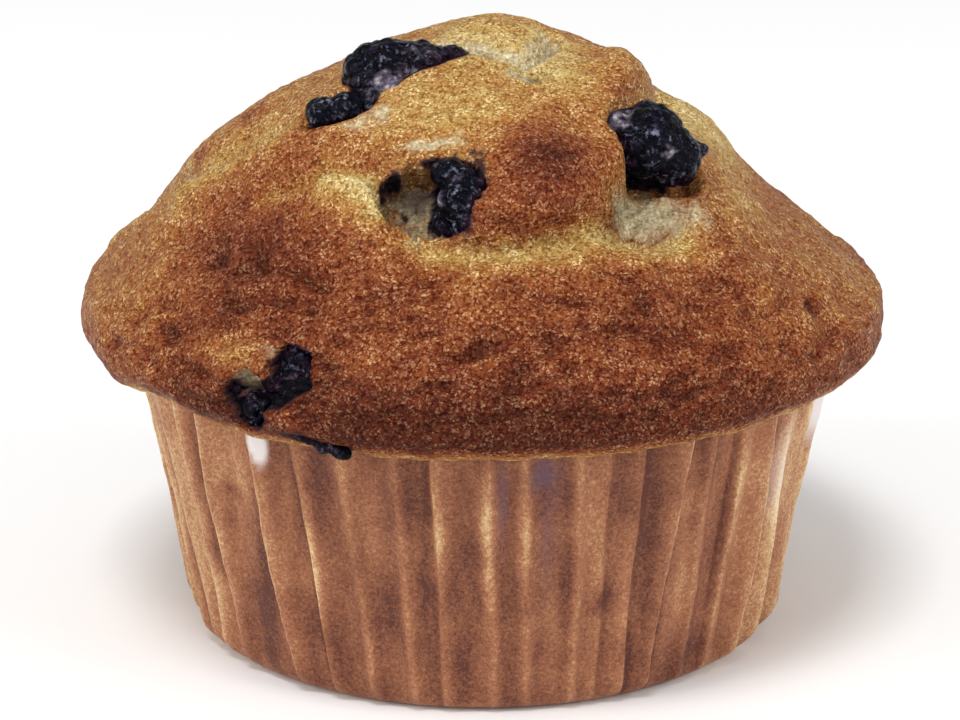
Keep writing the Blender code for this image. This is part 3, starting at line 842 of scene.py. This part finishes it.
def crust_rings():
    """Rings from the floor of the cake up, with fewer columns in the case, where they don't show."""
    most = CRUST_COLUMNS[0][1]
    rings = [
        (0.0, CRUMB_FLOOR, 1),
        (CRUMB_RADIUS / 2, CRUMB_FLOOR, most // 8),
        (CRUMB_RADIUS - CASE_CORNER, CRUMB_FLOOR, most // 4),
        (CRUMB_RADIUS, CRUMB_FLOOR + CASE_CORNER, most // 2),
    ]
    for radius, height in evenly(crown_profile(), CRUST_SPACING):
        columns = next((count for bound, count in CRUST_COLUMNS if radius > bound), 1)
        rings.append((radius, height, columns))
    return rings


def crease_bands(x, y):
    """How much crumb shows in the creases, and how golden the crust beside them is."""
    crumb, golden = np.zeros((2, len(x)))
    for name, (paleness, left_pale, right_pale, gold, left_gold, right_gold) in OPENINGS.items():
        nearest, left, fade = along_line(x, y, CREASES[name][0])
        pale_reach = np.where(left, left_pale, right_pale)
        gold_reach = np.where(left, left_gold, right_gold)
        crumb = np.maximum(crumb, paleness * fade * np.exp(-((nearest / pale_reach) ** 2)))
        golden = np.maximum(golden, gold * fade * np.exp(-((nearest / gold_reach) ** 2)))
    return crumb, golden


def strongest(points, places, start=0.0):
    """The strongest of the named soft spots at each point, but no less than the start."""
    value = start
    for centre, half, strength in places.values():
        value = np.maximum(value, strength * blob(points, centre, half))
    return value


def near_berries(points):
    """1 inside a berry, falling to 0 a little way outside it."""
    share = np.zeros(len(points))
    for blobs in BERRIES.values():
        for centre, half, _ in blobs:
            away = (scaled(points, centre, half) - 1) * min(half)
            share = np.maximum(share, np.exp(-np.clip(away, 0, None) / 0.5))
    return share


def crust_relief(points):
    """How far the crust's lumps stand out, how far its crumbs do and how far its wrinkles do."""
    lumps = pattern(points, "lumps")
    fine = pattern(points, "crumbs") + pattern(points, "fine_crumbs")
    # Wrinkles run round the skirt, deepest at the front.
    squeezed = points * (0.42, 0.42, 1.0)
    on_skirt = smooth_step((46 - points[:, 2]) / 6) * smooth_step((points[:, 2] - 28) / 4)
    depth = 0.1 + 0.5 * smooth_step((-points[:, 1] - 8) / 16)
    wrinkles = pattern(squeezed, "wrinkles")
    return lumps, fine, depth * on_skirt * (wrinkles - 0.6 * np.abs(wrinkles))


def crust_brown(points, wobbled, golden, relief):
    """How brown the crust is: paler beside the creases; paler on what stands out and darker in its hollows,
    a painted light and shade; and paler towards the sides, a painted rim light.
    """
    lumps, fine, wrinkles = relief
    # Paler towards the sides: painted rim light.
    sideways = smooth_step((np.abs(points[:, 0]) - 20) / 14)
    brown = np.interp(points[:, 2], *zip(*BROWN_BY_HEIGHT)) + pattern(points, "uneven_brown") - golden
    # Paler on the crumbs, wrinkles and lumps that stand out, darker in their hollows: painted light and
    # shade.
    brown -= 0.3 * fine + 0.3 * wrinkles + 0.1 * lumps + 0.22 * sideways
    for centre, half, change in BROWNING.values():
        brown += change * blob(wobbled, centre, half)
    return brown


def crust_juice(points, wobbled, soaked, rough):
    """How much juice is on the crust: in the holes, in the named places and close to each berry."""
    juice = np.maximum(strongest(wobbled, JUICE, soaked), 0.8 * near_berries(points) ** 1.5)
    juice = smooth_step(2.2 * juice + 0.5 * rough - 0.5)
    for centre, half, bare in BARE.values():
        juice = juice * (1 - bare * blob(wobbled, centre, half))
    return juice


def make_crust():
    mesh = rings_mesh("crust", crust_rings())
    turned = points_of(mesh)
    points, hollow, soaked = tear_holes(shape_crown(turned))
    move_points(mesh, points)
    normals = normals_of(mesh)
    rough = pattern(points, "rough")
    wobble = pattern(points, "wobble")
    wobbled = points + wobble[:, None]
    crumb, golden = crease_bands(turned[:, 0] + 0.5 * wobble, turned[:, 1] + 0.5 * wobble)
    crumb = smooth_step(1.5 * strongest(wobbled, CRUMB, crumb) + 0.5 * rough - 0.3)
    relief = crust_relief(points)
    brown = crust_brown(points, wobbled, golden, relief)
    juice = crust_juice(points, wobbled, soaked, rough)
    # Crumb and juicy places are rough, and sunk a little.
    far = sum(relief) + (crumb + 0.5 * juice) * (0.3 * rough - 0.08)
    shown = smooth_step(points[:, 2] - CASE_HEIGHT)
    move_points(mesh, points + normals * (far * shown)[:, None])
    set_attribute(mesh, "brown", brown)
    set_attribute(mesh, "crumb", crumb)
    set_attribute(mesh, "juice", juice)
    # Painted shade in holes and under overhangs: the deeper in a hole, the darker.
    set_attribute(mesh, "painted_shade_and_damp", strongest(points, PAINTED_SHADE_AND_DAMP, 0.25 * hollow))
    return show("crust", mesh, crust_material(), "crust", "muffin_cake")


# ---- The case ----


def pleat_lines():
    """(azimuth at the top, azimuth at the foot, stand-out, lean) of every pleat round the case."""
    draw = random.Random(11)
    pleats = list(FRONT_PLEATS)
    hidden = 360 - (FRONT_PLEATS[-1][0] - FRONT_PLEATS[0][0])
    count = round(hidden / PLEAT_PITCH)
    for i in range(1, count):
        azimuth = FRONT_PLEATS[-1][0] + hidden * i / count + draw.uniform(-1.8, 1.8)
        foot = azimuth + draw.uniform(-2.0, 2.0)
        pleats.append((azimuth, foot, draw.uniform(0.5, 1.2), draw.choice((-1, 0, 1))))
    return pleats


def pleat_shape(azimuth, height):
    """(how far the paper stands out from its valleys, how light its folded edges are, a painted highlight,
    and how dark the painted shadows beside them are)."""
    share = np.clip(height / CASE_HEIGHT, 0, 1)
    out, edge, fold_shadow = np.zeros((3, len(azimuth)))
    for number, (top, foot, stand, lean) in enumerate(pleat_lines()):
        kink = np.sin(height / 4.3 + 2.1 * number) * share * (1 - share)
        away = (azimuth - foot - (top - foot) * share - 1.1 * kink + 180) % 360 - 180
        # The folded-over side is steep and the other one long and gentle.
        steep, gentle = (0.8, 4.8) if lean else (2.4, 2.4)
        reach = np.where(away * (lean or 1) > 0, steep, gentle)
        rise = stand * (0.78 + 0.22 * np.cos(height / 6 + number))
        out = np.maximum(out, rise * smooth_step(1 - np.abs(away) / reach) ** 0.8)
        # Painted highlight along the folded edge, and a paler band beside it.
        crest = np.exp(-((away / 0.35) ** 2)) * (0.9 if lean else 0.3) * rise
        band = np.exp(-((away / (0.35 * reach)) ** 2)) * 0.45
        edge = np.maximum(edge, np.maximum(crest, band))
        # Painted shadow beside the folded-over side.
        if lean:
            fold_shadow = np.maximum(fold_shadow, 0.5 * rise * np.exp(-(((away * lean - 1.1) / 0.5) ** 2)))
    return out, edge, fold_shadow


def patches(azimuth, height, places):
    """The sum of soft patches on the case's wall."""
    total = np.zeros(azimuth.shape)
    for (middle, level), (width, rise), strength in places.values():
        across = (azimuth - middle) / width
        up = (height - level) / rise
        total += strength * np.exp(-(across**2) - up**2)
    return total


def case_rings():
    """The plain case, from the middle of its floor round the corner and up the wall."""
    rows = [(0.0, 0.0), (CASE_FOOT_RADIUS * 0.5, 0.0)]
    for turn in np.linspace(0, math.pi / 2, CORNER_ROWS):
        rise = PAPER_CORNER * (1 - math.cos(turn))
        rows.append((CASE_FOOT_RADIUS - PAPER_CORNER * (1 - math.sin(turn)) + CASE_FLARE * rise, rise))
    for height in np.linspace(PAPER_CORNER, PAPER_TOP, CASE_ROWS)[1:]:
        rows.append((CASE_FOOT_RADIUS + CASE_FLARE * height, height))
    counts = [1, CASE_COLUMNS // 4, CASE_COLUMNS // 2] + [CASE_COLUMNS] * (len(rows) - 3)
    return [(*row, count) for row, count in zip(rows, counts)]


def paint_paper(mesh, azimuth, height, edge, fold_shadow):
    """How light, stained and clean the paper is, from its folds and the named patches."""
    points = points_of(mesh)
    streak = pattern(points * (1.0, 1.0, 0.12), "paper_streaks")
    blur = pattern(points, "paper_blur")
    # Painted highlights on the folded edges and painted shadows beside them. Darker towards the foot,
    # darker under the lip as painted shade, lighter towards the sides as a painted sheen, and lighter where
    # it meets the floor.
    light = PAPER_LIGHT + 0.18 * streak + 0.38 * edge - 0.45 * fold_shadow - 0.14 * (1 - height / CASE_HEIGHT)
    light -= 0.08 * smooth_step((height - 18) / 6)
    light += 0.3 * smooth_step((np.abs(azimuth) - 38) / 26)
    light += patches(azimuth + blur, height + blur, PAPER_TONES) + 0.3 * np.exp(-((height / 0.6) ** 2))
    white = patches(azimuth + 0.4 * blur, height + 0.4 * blur, PAPER_WHITE)
    set_attribute(mesh, "light", light)
    set_attribute(mesh, "juice", patches(azimuth + blur, height + blur, PAPER_STAINS))
    set_attribute(mesh, "clean", smooth_step(1.6 * white - 0.3))


def make_case():
    mesh = rings_mesh("paper", case_rings())
    points = points_of(mesh)
    height = points[:, 2]
    radius = np.hypot(points[:, 0], points[:, 1])
    azimuth = np.degrees(np.arctan2(points[:, 0], -points[:, 1]))
    out, edge, fold_shadow = pleat_shape(azimuth, height)
    standing = smooth_step(height / PAPER_CORNER)
    dent = pattern(points, "paper_dents") + pattern(points, "paper_fine_dents")
    spread = 1 + (standing * (out - VALLEY_DEPTH + dent)) / np.maximum(radius, 1)
    points[:, :2] *= spread[:, None]
    move_points(mesh, points)
    paint_paper(mesh, azimuth, height, edge, fold_shadow)
    case = show("pleated_case", mesh, paper_material(), "paper", "paper_case")
    thick = case.modifiers.new("paper", "SOLIDIFY")
    thick.thickness = PAPER * MM
    thick.offset = -1


# ---- The berries ----


def ellipsoid(work, centre, half, turn):
    made = bmesh.ops.create_icosphere(work, subdivisions=4, radius=1.0)["verts"]
    spin = Euler([math.radians(angle) for angle in turn]).to_matrix()
    for vert in made:
        vert.co = (spin @ Vector([vert.co[i] * half[i] for i in range(3)]) + Vector(centre)) * MM


def berry_mesh(name, blobs):
    """The blobs melted into one closed, smooth mesh."""
    work = bmesh.new()
    for centre, half, turn in blobs:
        ellipsoid(work, centre, half, turn)
    rough = bpy.data.meshes.new(name + "_blobs")
    work.to_mesh(rough)
    work.free()
    helper = add_object(name + "_helper", rough)
    melt = helper.modifiers.new("melt", "REMESH")
    melt.mode = "VOXEL"
    melt.voxel_size = BERRY_VOXEL * MM
    soften = helper.modifiers.new("soften", "SMOOTH")
    soften.iterations = BERRY_SMOOTHING
    graph = bpy.context.evaluated_depsgraph_get()
    mesh = bpy.data.meshes.new_from_object(helper.evaluated_get(graph))
    bpy.data.objects.remove(helper)
    mesh.name = name
    return mesh


def crumples(points, size, seed):
    """How far rounded lumps of that size, with creases between them, stand out."""
    spots = points / size + 7.3 * seed
    away = np.array([noise.voronoi(spot)[0][0] for spot in spots.tolist()])
    return size * (0.2 - 0.4 * away**2)


def nearest_crust(crust):
    """The crust's points, ready to be searched."""
    points = points_of(crust.data)
    tree = KDTree(len(points))
    for index, point in enumerate(points.tolist()):
        tree.insert(point, index)
    tree.balance()
    return tree


def make_berry(name, blobs, seed, finish, crust_points):
    """A crumpled berry, ragged and tinted where it meets the crust."""
    mesh = berry_mesh(name, blobs)
    points, normals = points_of(mesh), normals_of(mesh)
    away = np.array([crust_points.find(point)[2] for point in points.tolist()])
    edge = np.exp(-((away / 0.6) ** 2))
    wrinkle = pattern(points, "berry_lumps", seed) + edge * pattern(points, "berry_rim", seed)
    wrinkle += sum(strength * crumples(points, size, seed) for strength, size in CRUMPLES)
    move_points(mesh, points + normals * wrinkle[:, None])
    torn = strongest(points, FLESH) + pattern(points, "berry_tears", seed)
    set_attribute(mesh, "flesh", smooth_step(2.0 * torn - 0.5))
    set_attribute(mesh, "edge", smooth_step(edge + pattern(points, "berry_rim_tint", seed) - 0.1))
    show(name + "_skin", mesh, finish, "berry_skin", name)


# ---- Light, floor and camera ----


def aim(obj, target):
    way = Vector(target) - obj.location
    obj.rotation_euler = way.to_track_quat("-Z", "Y").to_euler()


def soft_light(name, azimuth, elevation, distance, size, power):
    """A square light at that azimuth and elevation, facing the muffin; lengths in metres."""
    lamp = bpy.data.lights.new(name, "AREA")
    lamp.size = size
    lamp.energy = power
    obj = add_object(name, lamp)
    a, e = math.radians(azimuth), math.radians(elevation)
    obj.location = Vector((math.sin(a) * math.cos(e), -math.cos(a) * math.cos(e), math.sin(e))) * distance
    aim(obj, LIT_PLACE)


def make_studio():
    world = bpy.data.worlds.new("studio")
    world.use_nodes = True
    background = world.node_tree.nodes["Background"]
    background.inputs["Color"].default_value = (1, 1, 1, 1)
    background.inputs["Strength"].default_value = WORLD_STRENGTH
    bpy.context.scene.world = world
    for name, numbers in LIGHTS.items():
        soft_light(name, *numbers)
    bpy.context.scene.view_settings.view_transform = "Standard"


def make_floor():
    finish, _, shader = new_material("pale_floor")
    shader.inputs["Base Color"].default_value = FLOOR_COLOUR
    shader.inputs["Roughness"].default_value = 0.8
    mesh = bpy.data.meshes.new("floor")
    work = bmesh.new()
    bmesh.ops.create_circle(work, cap_ends=True, radius=FLOOR_RADIUS, segments=96)
    work.to_mesh(mesh)
    work.free()
    mesh.materials.append(finish)
    add_object("floor", mesh)


def make_camera():
    data = bpy.data.cameras.new("camera")
    data.lens = CAMERA_LENS
    data.sensor_width = SENSOR_WIDTH
    data.clip_start = 0.01
    camera = add_object("camera", data)
    rise = math.radians(CAMERA_ELEVATION)
    back = Vector((0, -math.cos(rise), math.sin(rise))) * CAMERA_DISTANCE
    camera.location = (Vector(CAMERA_TARGET) + back) * MM
    aim(camera, Vector(CAMERA_TARGET) * MM)
    bpy.context.scene.camera = camera


def main():
    crust_points = nearest_crust(make_crust())
    make_case()
    skin = berry_material()
    for seed, (name, blobs) in enumerate(BERRIES.items()):
        make_berry(name, blobs, seed, skin, crust_points)
    make_studio()
    make_floor()
    make_camera()


main()
